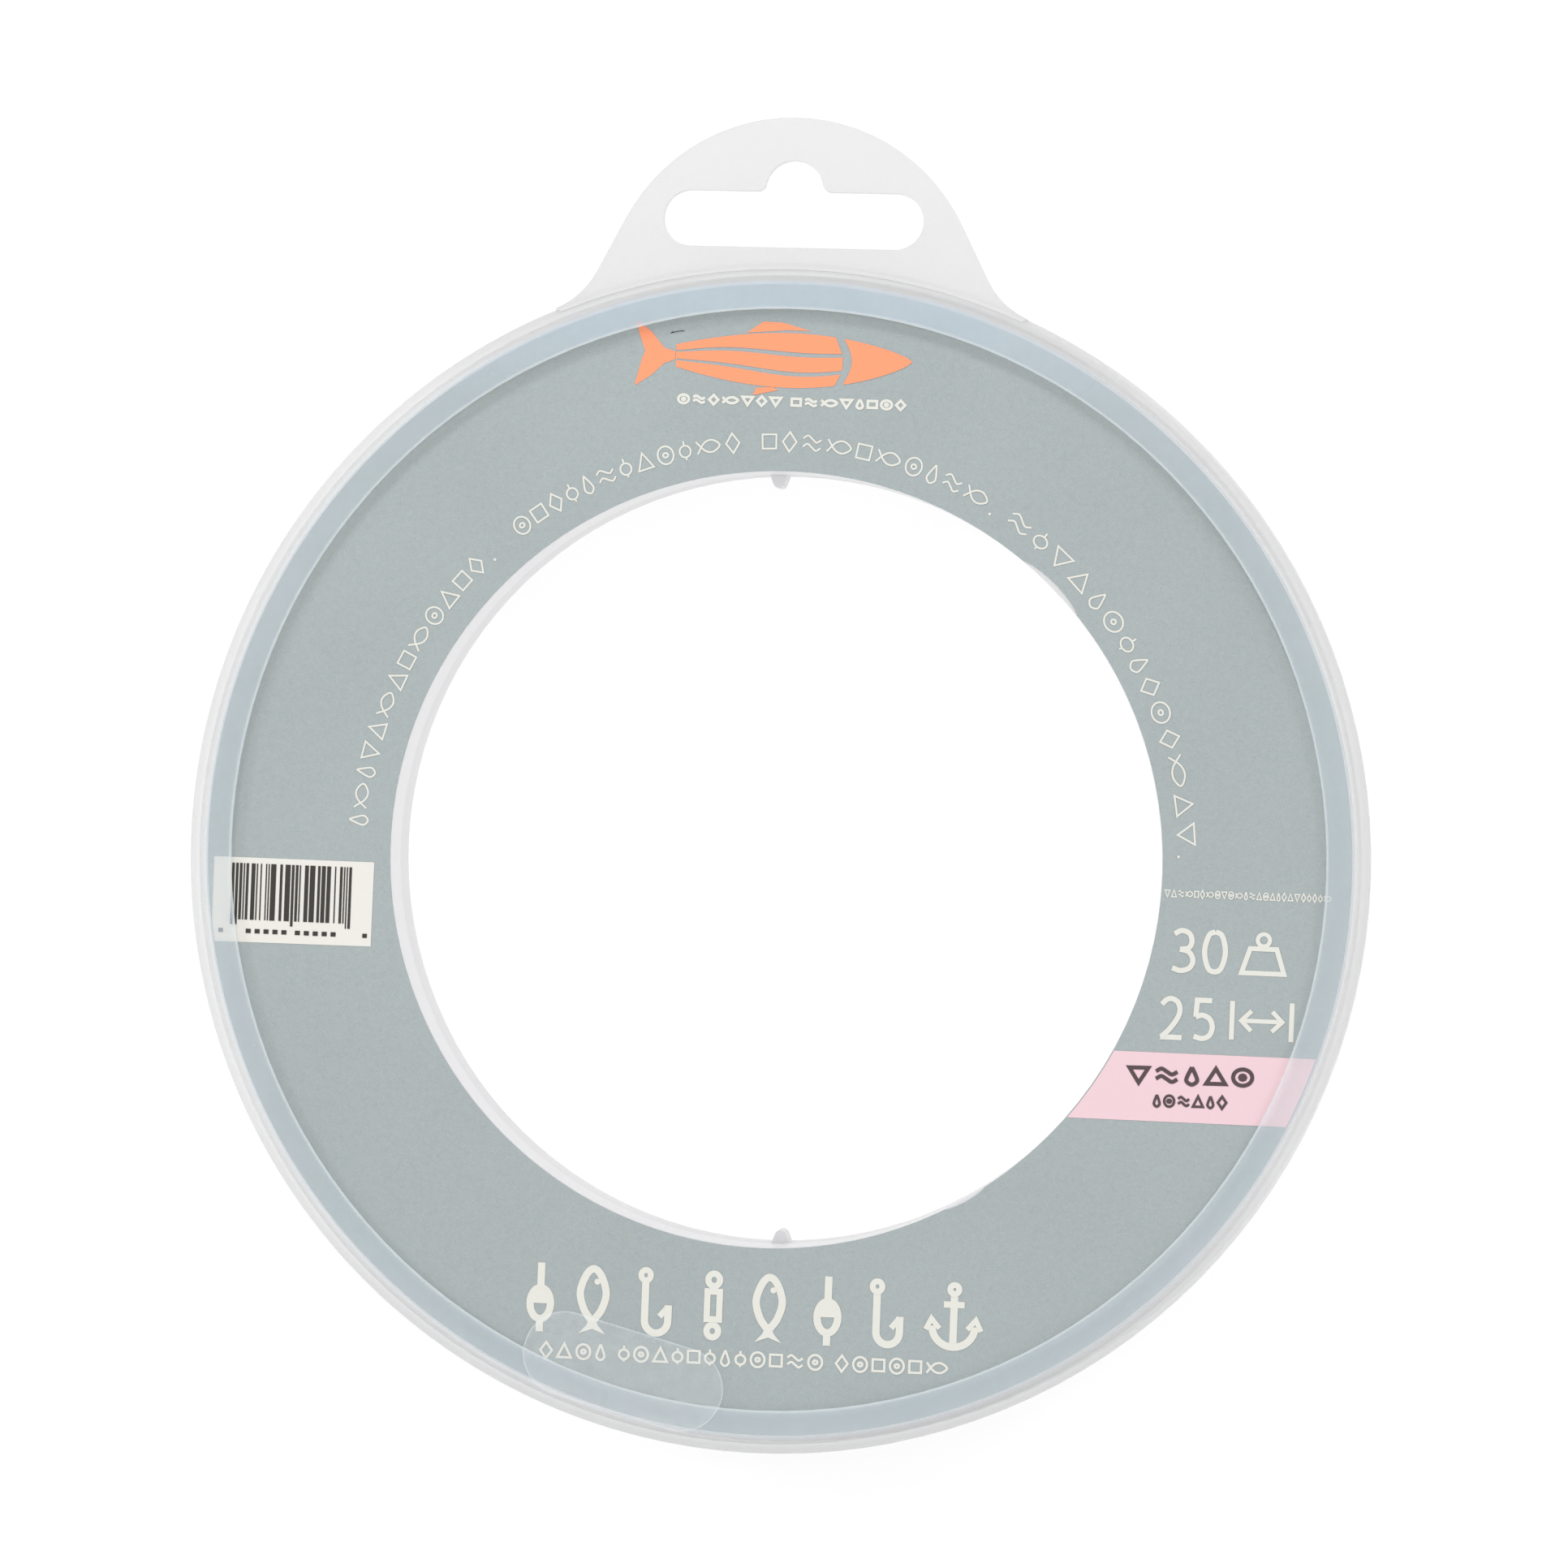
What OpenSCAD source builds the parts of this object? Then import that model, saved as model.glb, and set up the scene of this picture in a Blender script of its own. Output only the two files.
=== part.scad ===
// Leader line spool: a two-part ring spool full of line that turns inside a
// flexible, frosted C-section cover ring with a hang tab.
// Millimetres. The origin is on the spool's axis at mid-thickness. +Z is out of
// the labelled front face, +Y runs up the hang tab. The part lies on its back.

/* [Cover ring] */
// Outer radius of the cover ring
cover_r = 63.5; // [63.5:0.1:66]
// Overall thickness of the cover ring, over both lips
cover_t = 12.6; // [12.6:0.1:14]
// Thickness of the cover ring's outer band
band_wall = 1.0; // [0.8:0.1:1.0]
// Thickness of the two lips
lip_wall = 0.6; // [0.5:0.05:0.6]
// Inner radius of the two lips
lip_r = 58.8; // [58:0.1:59.5]
// Radius of the outer corners, in section
band_corner = 1.4; // [1.0:0.1:1.6]

/* [Hang tab] */
// Height of the tab's top above the spool's axis
tab_top = 79.2; // [78:0.1:82]
// Radius of the tab's round top
tab_dome_r = 20.2; // [19:0.1:21]
// Slope of the tab's sides from the vertical, in degrees
tab_slope = 27; // [22:1:30]
// Radius of the blend from the tab's sides into the ring
tab_blend_r = 9; // [6:1:11]
// Thickness of the tab
tab_t = 1.0; // [0.8:0.1:1.2]
// Length of the hanging slot
slot_len = 27.9; // [25:0.1:30]
// Width of the hanging slot
slot_w = 6.0; // [5:0.1:6.5]
// Height of the slot's centreline above the spool's axis
slot_y = 68.3; // [68:0.1:70]
// Radius of the round notch above the slot's middle
notch_r = 3.1; // [2.8:0.1:3.2]
// Rise of the notch's centre above the slot's top edge
notch_rise = 0.2; // [0:0.1:0.4]
// Radius of the small blends at the notch's foot
notch_blend_r = 0.9; // [0.6:0.1:1]

/* [Spool] */
// Radius of the flanges
flange_r = 61.8; // [60.5:0.1:61.8]
// Overall thickness of the spool, over both flanges
spool_t = 10.6; // [10:0.1:10.6]
// Thickness of each flange
flange_t = 1.2; // [1:0.1:1.5]
// Radius of the hole in the front half, and in the rear half where the two meet
bore_r = 41.5; // [41.4:0.1:41.8]
// Depth below mid-thickness at which the halves meet in the hole
seam_depth = 0.6; // [0.4:0.1:0.8]
// Draft of the hole in the rear half, in degrees; it widens to the rear
rear_draft = 1; // [0.5:0.1:1.5]
// Radius of the core that the line is wound on
core_r = 43.6; // [43.5:0.1:44]
// Thickness of the front half's sleeve
sleeve_wall = 1.1; // [1:0.05:1.15]
// Number of snap lugs between the halves
snap_count = 6; // [4:1:8]
// Width of each drive peg at the wall of the hole
peg_w = 1.9; // [1.8:0.05:2.2]
// Radius of each drive peg's round tip
peg_tip_r = 0.64; // [0.6:0.02:0.8]
// How far each drive peg reaches in from the wall
peg_len = 1.4; // [1.2:0.1:1.8]
// Length of each drive peg along the spool's axis
peg_run = 3.2; // [2:0.1:3.6]
// Turn of the two drive pegs from the hang tab's line at rest, in degrees
peg_turn = 2; // [-3:0.5:3]

/* [Line] */
// Outer radius of the wound line
winding_r = 46.6; // [45:0.1:50]
// Gap between the winding and each flange
winding_gap = 0.15; // [0.1:0.05:0.3]
// Length of the tape that holds the line's loose end
end_tape_len = 25; // [15:1:40]
// Width of the tape that holds the line's loose end
end_tape_w = 6; // [4:0.5:7]

/* [Label and seal] */
// Outer radius of the front label
label_r = 61.5; // [60:0.1:61.7]
// Radius of the hole in the front label
label_hole_r = 41.5; // [41.5:0.05:42]
// Thickness of the front label
label_t = 0.1; // [0.08:0.01:0.12]
// Length of the wafer seal
seal_len = 22.1; // [18:0.1:25]
// Width of the wafer seal
seal_w = 9; // [8:0.1:10]
// Distance of the wafer seal's centre from the spool's axis
seal_at_r = 57.1; // [57:0.1:57.4]
// Direction of the wafer seal from the axis, in degrees from +X
seal_at_deg = -104.5; // [-180:0.1:180]
// Thickness of the wafer seal and of the end tape
film_t = 0.12; // [0.08:0.01:0.15]

/* [Hidden] */
$fn = 144;

eps = 0.01;
cover_half = cover_t / 2;
spool_half = spool_t / 2;
flange_in = spool_half - flange_t; // inner face of each flange
band_in_r = cover_r - band_wall;
lip_in = cover_half - lip_wall; // inner face of each lip
band_in_corner = 0.6;
rim_round = 0.4;
slip = 0.1; // clearance between the two halves' sleeves
collar_end = flange_in - 0.15;
snap_z = 1.3;
snap_h = 0.8;
snap_proud = 0.25;
snap_deg = 12;
window_margin = 0.1;
ejector_r = 2.5;
ejector_depth = 0.15;
ejector_at_r = 52;
ejector_count = 8;
hub_rim_w = 1.3;
hub_rim_h = 0.5;
peg_top = -seam_depth - 0.2;
seal_gap = 0.32; // clearance between the seal and the label
seal_step_r = lip_r - 0.15; // where the seal steps down off the lip
label_face = spool_half + label_t;

// The tab's side is a straight line tangent to the dome, blended into the ring.
dome_y = tab_top - tab_dome_r;
side_n = [cos(tab_slope), sin(tab_slope)]; // unit vector square to the side
side_d = [-sin(tab_slope), cos(tab_slope)]; // unit vector up along the side
blend_out = dome_y * sin(tab_slope) + tab_dome_r + tab_blend_r;
blend_up = sqrt(pow(cover_r + tab_blend_r, 2) - pow(blend_out, 2));
blend_c = blend_out * side_n + blend_up * side_d;
side_top = [0, dome_y] + tab_dome_r * side_n;
side_foot = blend_c - tab_blend_r * side_n;
ring_foot = blend_c * cover_r / (cover_r + tab_blend_r);

// Ring of rectangular section between two radii and two heights.
module ring(r_in, r_out, z_low, z_high, turn = 360) {
    rotate_extrude(angle = turn)
        translate([r_in, z_low]) square([r_out - r_in, z_high - z_low]);
}

// Channel section of the cover, as seen in the plane of the axis.
module cover_section() {
    corner_r = cover_r - band_corner;
    corner_z = cover_half - band_corner;
    lip_round = lip_wall / 2;
    difference() {
        union() {
            translate([lip_r + lip_round, -cover_half])
                square([corner_r - lip_r - lip_round, cover_t]);
            translate([corner_r - eps, -corner_z])
                square([band_corner + eps, 2 * corner_z]);
            for (side = [-1, 1]) {
                translate([corner_r, side * corner_z]) circle(r = band_corner);
                translate([lip_r + lip_round, side * (cover_half - lip_round)])
                    circle(r = lip_round);
            }
        }
        translate([lip_r - 1, -lip_in])
            square([band_in_r - band_in_corner - lip_r + 1, 2 * lip_in]);
        translate([lip_r - 1, -lip_in + band_in_corner])
            square([band_in_r - lip_r + 1, 2 * (lip_in - band_in_corner)]);
        for (side = [-1, 1])
            translate([band_in_r - band_in_corner, side * (lip_in - band_in_corner)])
                circle(r = band_in_corner);
    }
}

// Hanging slot: a round-ended slot with a round notch over its middle.
module slot_outline() {
    end_x = (slot_len - slot_w) / 2;
    top_y = slot_y + slot_w / 2;
    notch_y = top_y + notch_rise;
    foot_x = sqrt(pow(notch_r + notch_blend_r, 2) - pow(notch_blend_r - notch_rise, 2));
    translate([-end_x, slot_y - slot_w / 2]) square([2 * end_x, slot_w]);
    for (side = [-1, 1])
        translate([side * end_x, slot_y]) circle(d = slot_w);
    translate([0, notch_y]) circle(r = notch_r);
    difference() {
        translate([-foot_x, top_y - eps]) square([2 * foot_x, notch_blend_r]);
        for (side = [-1, 1])
            translate([side * foot_x, top_y + notch_blend_r]) circle(r = notch_blend_r);
    }
}

// Outline of the tab outside the ring, before the slot is cut.
module tab_outline() {
    difference() {
        union() {
            translate([0, dome_y]) circle(r = tab_dome_r);
            for (side = [0, 1])
                mirror([side, 0])
                    polygon([[0, dome_y], side_top, side_foot, blend_c, ring_foot, [0, slot_y - 20]]);
        }
        for (side = [0, 1])
            mirror([side, 0]) translate(blend_c) circle(r = tab_blend_r);
        circle(r = cover_r - band_wall / 2);
    }
}

module cover_ring() {
    color("gainsboro", 0.6) {
        rotate_extrude() cover_section();
        translate([0, 0, cover_half - tab_t])
            linear_extrude(height = tab_t)
                difference() {
                    tab_outline();
                    slot_outline();
                }
    }
}

// Round-ended film outline, in place and square to the radius.
module seal_outline() {
    end_x = (seal_len - seal_w) / 2;
    rotate([0, 0, seal_at_deg + 90])
        translate([0, -seal_at_r]) {
            translate([-end_x, -seal_w / 2]) square([2 * end_x, seal_w]);
            for (side = [-1, 1])
                translate([side * end_x, 0]) circle(d = seal_w);
        }
}

// Clear film stuck on the front lip, stepping down over the label.
module wafer_seal() {
    low = label_face + seal_gap;
    color("white", 0.4) {
        intersection() {
            translate([0, 0, low]) linear_extrude(height = cover_half + film_t - low) seal_outline();
            union() {
                ring(seal_step_r - film_t, cover_r, cover_half, cover_half + film_t);
                ring(seal_step_r - film_t, seal_step_r, low, cover_half + film_t);
                ring(bore_r, seal_step_r, low, low + film_t);
            }
        }
    }
}

// Flange disc with a rounded rim. Its outer face is at spool_half.
module flange(hole_r) {
    rotate_extrude() {
        translate([hole_r, flange_in]) square([flange_r - rim_round - hole_r, flange_t]);
        translate([hole_r, flange_in + rim_round])
            square([flange_r - hole_r, flange_t - 2 * rim_round]);
        for (z = [flange_in + rim_round, spool_half - rim_round])
            translate([flange_r - rim_round, z]) circle(r = rim_round);
    }
}

// Front flange with the inner sleeve and its snap lugs.
module spool_front_half() {
    sleeve_r = bore_r + sleeve_wall;
    color("whitesmoke") {
        flange(bore_r);
        ring(bore_r, sleeve_r, -seam_depth, flange_in + eps);
        for (i = [0 : snap_count - 1])
            rotate([0, 0, i * 360 / snap_count])
                ring(sleeve_r - eps, sleeve_r + snap_proud, snap_z, snap_z + snap_h, snap_deg);
    }
}

// Small tongue that reaches in from the wall of the hole. Its sides are tangent
// to its round tip.
module drive_peg() {
    half_w = peg_w / 2;
    tip_at = peg_len - peg_tip_r;
    lean = acos(peg_tip_r / norm([half_w, tip_at])) - atan2(tip_at, half_w);
    side_end = [peg_tip_r * cos(lean), tip_at + peg_tip_r * sin(lean)];
    translate([0, bore_r, peg_top - peg_run])
        linear_extrude(height = peg_run)
            mirror([0, 1]) {
                translate([0, tip_at]) circle(r = peg_tip_r);
                polygon([
                    [-half_w, -0.5], [half_w, -0.5], [half_w, 0], side_end,
                    [-side_end[0], side_end[1]], [-half_w, 0]
                ]);
            }
}

// Radius of the rear half's tapered hole at a height.
function hole_r_at(z) = bore_r - (seam_depth + z) * tan(rear_draft);

// Rear flange with the outer collar, snap windows and drive pegs.
module spool_rear_half() {
    rough_r = bore_r - 0.3; // before the tapered hole is cut
    rim_r = bore_r + hub_rim_w;
    rim_z = -spool_half - hub_rim_h;
    collar_in_r = bore_r + sleeve_wall + slip;
    window_z = snap_z - window_margin;
    window_h = snap_h + 2 * window_margin;
    window_deg = snap_deg + 2;
    cut_low = rim_z - 1;
    cut_high = 1 - seam_depth;
    color("gainsboro") {
        difference() {
            union() {
                mirror([0, 0, 1]) flange(rough_r);
                ring(rough_r, core_r, -flange_in - eps, -seam_depth);
                ring(collar_in_r, core_r, -seam_depth - eps, collar_end);
                ring(rough_r, rim_r, rim_z, -spool_half + eps);
            }
            translate([0, 0, cut_low])
                cylinder(r1 = hole_r_at(cut_low), r2 = hole_r_at(cut_high), h = cut_high - cut_low);
            for (i = [0 : snap_count - 1])
                rotate([0, 0, i * 360 / snap_count - 1])
                    ring(collar_in_r - 1, core_r + 1, window_z, window_z + window_h, window_deg);
            for (i = [0 : ejector_count - 1])
                rotate([0, 0, (i + 0.5) * 360 / ejector_count])
                    translate([ejector_at_r, 0, -spool_half])
                        cylinder(r1 = ejector_r, r2 = ejector_r - ejector_depth, h = ejector_depth);
        }
        for (turn = [0, 180])
            rotate([0, 0, turn + peg_turn]) drive_peg();
    }
}

// Closed outer shape of the wound line.
module line_winding() {
    color("lightpink")
        ring(core_r, winding_r, -flange_in + winding_gap, flange_in - winding_gap);
}

// Tape laid round the winding, over the line's loose end.
module line_end_tape() {
    turn = end_tape_len / winding_r * 180 / PI;
    color("white")
        rotate([0, 0, 200])
            ring(winding_r, winding_r + film_t, -end_tape_w / 2, end_tape_w / 2, turn);
}

// Printed ring label that covers the front flange.
module front_label() {
    color("darkgray")
        ring(label_hole_r, label_r, spool_half, label_face);
}

cover_ring();
wafer_seal();
spool_front_half();
spool_rear_half();
line_winding();
line_end_tape();
front_label();
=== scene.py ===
"""A flat ring spool of leader line inside its frosted cover ring, lying on its back.

Metres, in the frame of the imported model: +Z out of the labelled front face, +Y up the
hang tab, origin on the spool's axis. The print on the label is a generic stand-in: plain
marks, pictograms and two numbers take the place of every word and mark.
"""

import math
import random

import bpy
from mathutils import Matrix, Vector


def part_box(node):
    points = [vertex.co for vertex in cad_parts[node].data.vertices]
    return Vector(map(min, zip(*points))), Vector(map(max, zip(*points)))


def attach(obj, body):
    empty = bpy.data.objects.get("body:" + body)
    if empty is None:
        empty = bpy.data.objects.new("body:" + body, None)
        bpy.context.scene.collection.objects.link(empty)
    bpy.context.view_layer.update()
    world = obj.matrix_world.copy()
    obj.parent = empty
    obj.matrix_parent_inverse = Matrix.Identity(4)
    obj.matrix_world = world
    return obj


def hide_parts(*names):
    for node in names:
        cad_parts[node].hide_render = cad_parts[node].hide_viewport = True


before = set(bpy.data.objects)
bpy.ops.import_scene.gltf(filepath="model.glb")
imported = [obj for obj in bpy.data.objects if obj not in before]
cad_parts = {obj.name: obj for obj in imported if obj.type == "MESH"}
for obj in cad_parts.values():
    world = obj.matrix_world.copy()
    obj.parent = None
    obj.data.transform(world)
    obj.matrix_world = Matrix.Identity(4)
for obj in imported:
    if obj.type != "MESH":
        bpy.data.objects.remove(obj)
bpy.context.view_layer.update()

MM = 0.001
TAU = 2 * math.pi


# ---------------------------------------------------------------- sizes from the frame

def least_radius(node, above=-1.0):
    """Smallest distance from the spool's axis of a CAD node's points above a height."""
    points = [v.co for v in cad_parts[node].data.vertices if v.co.z > above]
    return min(math.hypot(p.x, p.y) for p in points)


LABEL_LOW, LABEL_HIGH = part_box("front_label")
SEAL_LOW, SEAL_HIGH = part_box("wafer_seal")
WINDING_LOW, WINDING_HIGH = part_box("line_winding")
TAPE_LOW, TAPE_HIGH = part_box("line_end_tape")

BACK_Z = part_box("cover_ring")[0].z   # the back of the cover, on which the part lies
LIP_R = least_radius("cover_ring")
LABEL_R = LABEL_HIGH.x
LABEL_TOP = LABEL_HIGH.z
HOLE_R = least_radius("front_label")
CORE_R = least_radius("line_winding")
WINDING_R = WINDING_HIGH.x

# ---------------------------------------------------------------- named values

CAMERA_AT = (0.0624, 0.0081, 0.5565)
CAMERA_AIM = (0.0003, 0.0081, 0.0)
CAMERA_ROLL = math.radians(1.9)
CAMERA_LENS = 119.2
CAMERA_SENSOR = 36.0

LIGHT_DISTANCE = 1.1
KEY_ELEVATION = math.radians(27.0)  # low, so that the front lip casts a soft band of shade
KEY_SIZE = 0.22
# Each low light: its name, its azimuth in degrees, its watts.
KEYS = (("key_tab_side", 103, 3.6), ("key_left", 160, 2.2), ("key_right", 42, 2.0))
FILL_SIZE, FILL_WATTS = 0.8, 3.8
SKY_STRENGTH = 0.93
FLOOR_REACH = 3.0
FLOOR_GAP = 0.02 * MM

LABEL_TURN = math.radians(-0.3)     # the print stands slightly askew to the hang tab
PRINT_LIFT = 0.03 * MM              # each layer of print above the one below
LABEL_CUTS = ((46.1, 5.6, 0.5), (-58.4, 3.4, 0.3))  # degrees, half-width, depth in mm

SEAL_LENGTH = 22.1 * MM
SEAL_WIDTH = 9.0 * MM
FILM = 0.12 * MM

END_TAPE_START = math.radians(200)
END_TAPE_LENGTH = 25.0 * MM

LINE_D = 0.52 * MM
TURNS_PER_LAYER = 15
LAYER_STEP = 0.46 * MM
FULL_LAYERS = 5
LAST_LAYER_TURNS = 6
LINE_END = math.radians(216)        # under the end tape

LABEL_GREY = (0.335, 0.378, 0.385)
IVORY = (0.68, 0.68, 0.625)
ORANGE = (0.92, 0.305, 0.150)
PINK = (0.76, 0.55, 0.595)
PATCH = (0.715, 0.70, 0.655)
INK = (0.026, 0.023, 0.019)
WARM_INK = (0.072, 0.045, 0.048)


# ---------------------------------------------------------------- node helpers

class Shading:
    """A new material with its node tree, and short calls for the nodes used here."""

    def __init__(self, name):
        self.material = bpy.data.materials.new(name)
        self.material.use_nodes = True
        self.tree = self.material.node_tree
        self.tree.nodes.clear()
        self.output = self.tree.nodes.new("ShaderNodeOutputMaterial")
        self.place = self.tree.nodes.new("ShaderNodeTexCoord").outputs["Object"]

    def node(self, kind, **settings):
        made = self.tree.nodes.new(kind)
        for key, value in settings.items():
            setattr(made, key, value)
        return made

    def feed(self, socket, value):
        if isinstance(value, bpy.types.NodeSocket):
            self.tree.links.new(value, socket)
        elif isinstance(value, tuple) and len(value) == 3 and len(socket.default_value) == 4:
            socket.default_value = (*value, 1.0)
        else:
            socket.default_value = value

    def noise(self, scale, detail=2.0, roughness=0.5, stretch=None):
        place = self.place
        if stretch:
            mapping = self.node("ShaderNodeMapping")
            self.feed(mapping.inputs["Vector"], place)
            mapping.inputs["Scale"].default_value = stretch
            place = mapping.outputs["Vector"]
        noise = self.node("ShaderNodeTexNoise")
        self.feed(noise.inputs["Vector"], place)
        noise.inputs["Scale"].default_value = scale
        noise.inputs["Detail"].default_value = detail
        noise.inputs["Roughness"].default_value = roughness
        return noise.outputs["Fac"]

    def spread(self, value, low, high, to_low, to_high, smooth=False):
        """value from low..high moved to to_low..to_high, clamped."""
        node = self.node("ShaderNodeMapRange")
        if smooth:
            node.interpolation_type = "SMOOTHSTEP"
        for name, v in (("Value", value), ("From Min", low), ("From Max", high),
                        ("To Min", to_low), ("To Max", to_high)):
            self.feed(node.inputs[name], v)
        return node.outputs["Result"]

    def math(self, operation, a, b=0.0):
        node = self.node("ShaderNodeMath", operation=operation)
        self.feed(node.inputs[0], a)
        self.feed(node.inputs[1], b)
        return node.outputs[0]

    def blend(self, factor, a, b):
        node = self.node("ShaderNodeMix", data_type="RGBA")
        self.feed(node.inputs[0], factor)
        self.feed(node.inputs[6], a)
        self.feed(node.inputs[7], b)
        return node.outputs[2]

    def along(self, axis):
        """Place along "X", "Y" or "Z", in millimetres."""
        split = self.node("ShaderNodeSeparateXYZ")
        self.feed(split.inputs[0], self.place)
        return self.math("MULTIPLY", split.outputs[axis], 1 / MM)

    def radius(self):
        """Distance from the spool's axis, in millimetres."""
        squares = self.math("ADD", self.math("POWER", self.along("X"), 2.0),
                            self.math("POWER", self.along("Y"), 2.0))
        return self.math("SQRT", squares)

    def bump(self, height, strength, distance):
        node = self.node("ShaderNodeBump")
        node.inputs["Strength"].default_value = strength
        node.inputs["Distance"].default_value = distance
        self.feed(node.inputs["Height"], height)
        return node.outputs["Normal"]

    def principled(self, colour, roughness, normal=None, **inputs):
        node = self.node("ShaderNodeBsdfPrincipled")
        self.feed(node.inputs["Base Color"], colour)
        self.feed(node.inputs["Roughness"], roughness)
        if normal is not None:
            self.feed(node.inputs["Normal"], normal)
        for key, value in inputs.items():
            self.feed(node.inputs[key.replace("_", " ")], value)
        return node.outputs[0]

    def mix_shaders(self, factor, a, b):
        node = self.node("ShaderNodeMixShader")
        self.feed(node.inputs[0], factor)
        self.feed(node.inputs[1], a)
        self.feed(node.inputs[2], b)
        return node.outputs[0]

    def transparent(self, colour=(1.0, 1.0, 1.0)):
        node = self.node("ShaderNodeBsdfTransparent")
        self.feed(node.inputs[0], colour)
        return node.outputs[0]

    def translucent(self, colour):
        node = self.node("ShaderNodeBsdfTranslucent")
        self.feed(node.inputs[0], colour)
        return node.outputs[0]

    def finish(self, surface):
        self.feed(self.output.inputs["Surface"], surface)
        return self.material


# ---------------------------------------------------------------- materials

def frosted_cover():
    """Milky, flexible plastic. It scatters blue over the dark label and lets warm light
    through, is clearer over its thin lips, and denser in its edge, its band and its tab.
    Painted light: it grows hazier and lighter towards the tab as a painted highlight, its
    dense edge ring also shows as a painted highlight line, and its band darkens towards
    the bottom as painted shade."""
    s = Shading("frosted_cover")
    # zones of the cover, by radius, height above the mid plane and place up the tab
    radius = s.radius()
    # the dense edge ring casts the lip's soft shade band on the label under the low lamps, and also
    # shows as a painted highlight line along the lip's edge
    edge = s.spread(radius, LIP_R / MM + 0.04, LIP_R / MM + 0.30, 1.0, 0.0)
    outer = s.spread(radius, 61.7, 62.6, 0.0, 1.0, smooth=True)
    neutral = s.spread(radius, 61.5, 62.0, 0.0, 1.0, smooth=True)
    wall = s.math("MULTIPLY", s.spread(radius, 62.3, 62.8, 0.0, 1.0, smooth=True),
                  s.spread(radius, 63.52, 63.9, 1.0, 0.0, smooth=True))
    off_middle = s.math("ABSOLUTE", s.along("Z"))
    faces = s.spread(off_middle, 5.1, 5.29, 0.0, 1.0)
    up = s.along("Y")
    # painted highlight: the cover grows hazier, so lighter, towards the tab, where the light falls
    painted_light_near_tab = s.spread(up, 48.0, 59.5, 0.0, 0.14)
    # painted shade: the band darkens towards the bottom, the side away from the light
    painted_shade_low = s.spread(up, -30.0, -60.0, 0.0, 1.0)
    streaks = s.noise(420.0, 3.0, 0.6, stretch=(1.0, 1.0, 0.25))
    clouds = s.noise(70.0, 2.0, 0.5)
    nicks = s.spread(s.noise(620.0, 4.0, 0.75), 0.745, 0.775, 0.0, 0.35)
    haze = s.math("ADD", s.spread(streaks, 0.3, 0.7, -0.012, 0.012),
                  s.math("ADD", painted_light_near_tab, s.spread(clouds, 0.3, 0.7, 0.215, 0.24)))
    denser = s.math("ADD", s.math("MULTIPLY", outer, 0.17), s.math("MULTIPLY", wall, 0.14))
    haze = s.math("ADD", haze, s.math("MULTIPLY", faces, denser))
    haze = s.math("ADD", haze, s.math("MULTIPLY", edge, 0.42))
    haze = s.math("ADD", haze, nicks)
    thin_tint = s.blend(s.spread(clouds, 0.3, 0.7, 0.0, 1.0), (0.69, 0.845, 0.99),
                        (0.74, 0.865, 1.0))
    tab = s.spread(radius, 63.52, 64.4, 0.0, 1.0, smooth=True)
    # the band's own grey, with painted shade towards the bottom
    band_tint_and_shade = s.blend(painted_shade_low, (0.725, 0.725, 0.73), (0.56, 0.563, 0.57))
    outer_tint = s.blend(tab, band_tint_and_shade, (0.735, 0.735, 0.74))
    tint = s.blend(neutral, s.blend(edge, thin_tint, (0.78, 0.84, 0.87)), outer_tint)
    through = s.blend(neutral, (1.0, 0.985, 0.96), (1.0, 1.0, 1.0))
    passed_on = s.blend(neutral, (1.0, 1.0, 1.0), outer_tint)
    grain = s.noise(5200.0, 2.0, 0.6)
    normal = s.bump(grain, 0.12, 0.05 * MM)
    scattered = s.mix_shaders(
        0.3,
        s.principled(tint, s.spread(grain, 0.3, 0.7, 0.34, 0.46), normal, IOR=1.5),
        s.translucent(passed_on))
    return s.finish(s.mix_shaders(haze, s.transparent(through), scattered))


def clear_film():
    """Clear adhesive film: almost invisible, with a painted highlight along its cut edge, and
    brighter in creases.
    """
    s = Shading("clear_film")
    # the "rim" attribute carries a painted highlight along the film's cut edge
    rim = s.node("ShaderNodeAttribute", attribute_name="rim").outputs["Fac"]
    crease = s.noise(900.0, 3.0, 0.7)
    haze = s.math("ADD", s.spread(crease, 0.35, 0.7, 0.045, 0.09), s.math("MULTIPLY", rim, 0.13))
    normal = s.bump(s.noise(260.0, 2.0), 0.25, 0.2 * MM)
    film = s.principled((0.93, 0.96, 0.98), s.spread(crease, 0.3, 0.7, 0.10, 0.2), normal)
    return s.finish(s.mix_shaders(haze, s.transparent(), film))


def moulded_plastic(name, colour, tone):
    """Satin natural polystyrene with faint flow clouds and handling scuffs."""
    s = Shading(name)
    flow = s.noise(55.0, 2.0, 0.5, stretch=(1.0, 1.0, 3.0))
    scuff = s.noise(650.0, 4.0, 0.7, stretch=(1.0, 1.0, 0.35))
    marks = s.spread(scuff, 0.66, 0.74, 0.0, 0.22)
    base = s.blend(s.spread(flow, 0.3, 0.7, 0.0, 1.0), colour, tone)
    base = s.blend(marks, base, (0.72, 0.73, 0.76))
    grain = s.noise(3600.0, 2.0)
    normal = s.bump(s.math("ADD", grain, s.math("MULTIPLY", scuff, 0.5)), 0.10, 0.04 * MM)
    solid = s.principled(base, s.spread(scuff, 0.3, 0.75, 0.30, 0.44), normal, IOR=1.55)
    return s.finish(s.mix_shaders(0.15, solid, s.translucent((0.96, 0.96, 0.98))))


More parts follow.
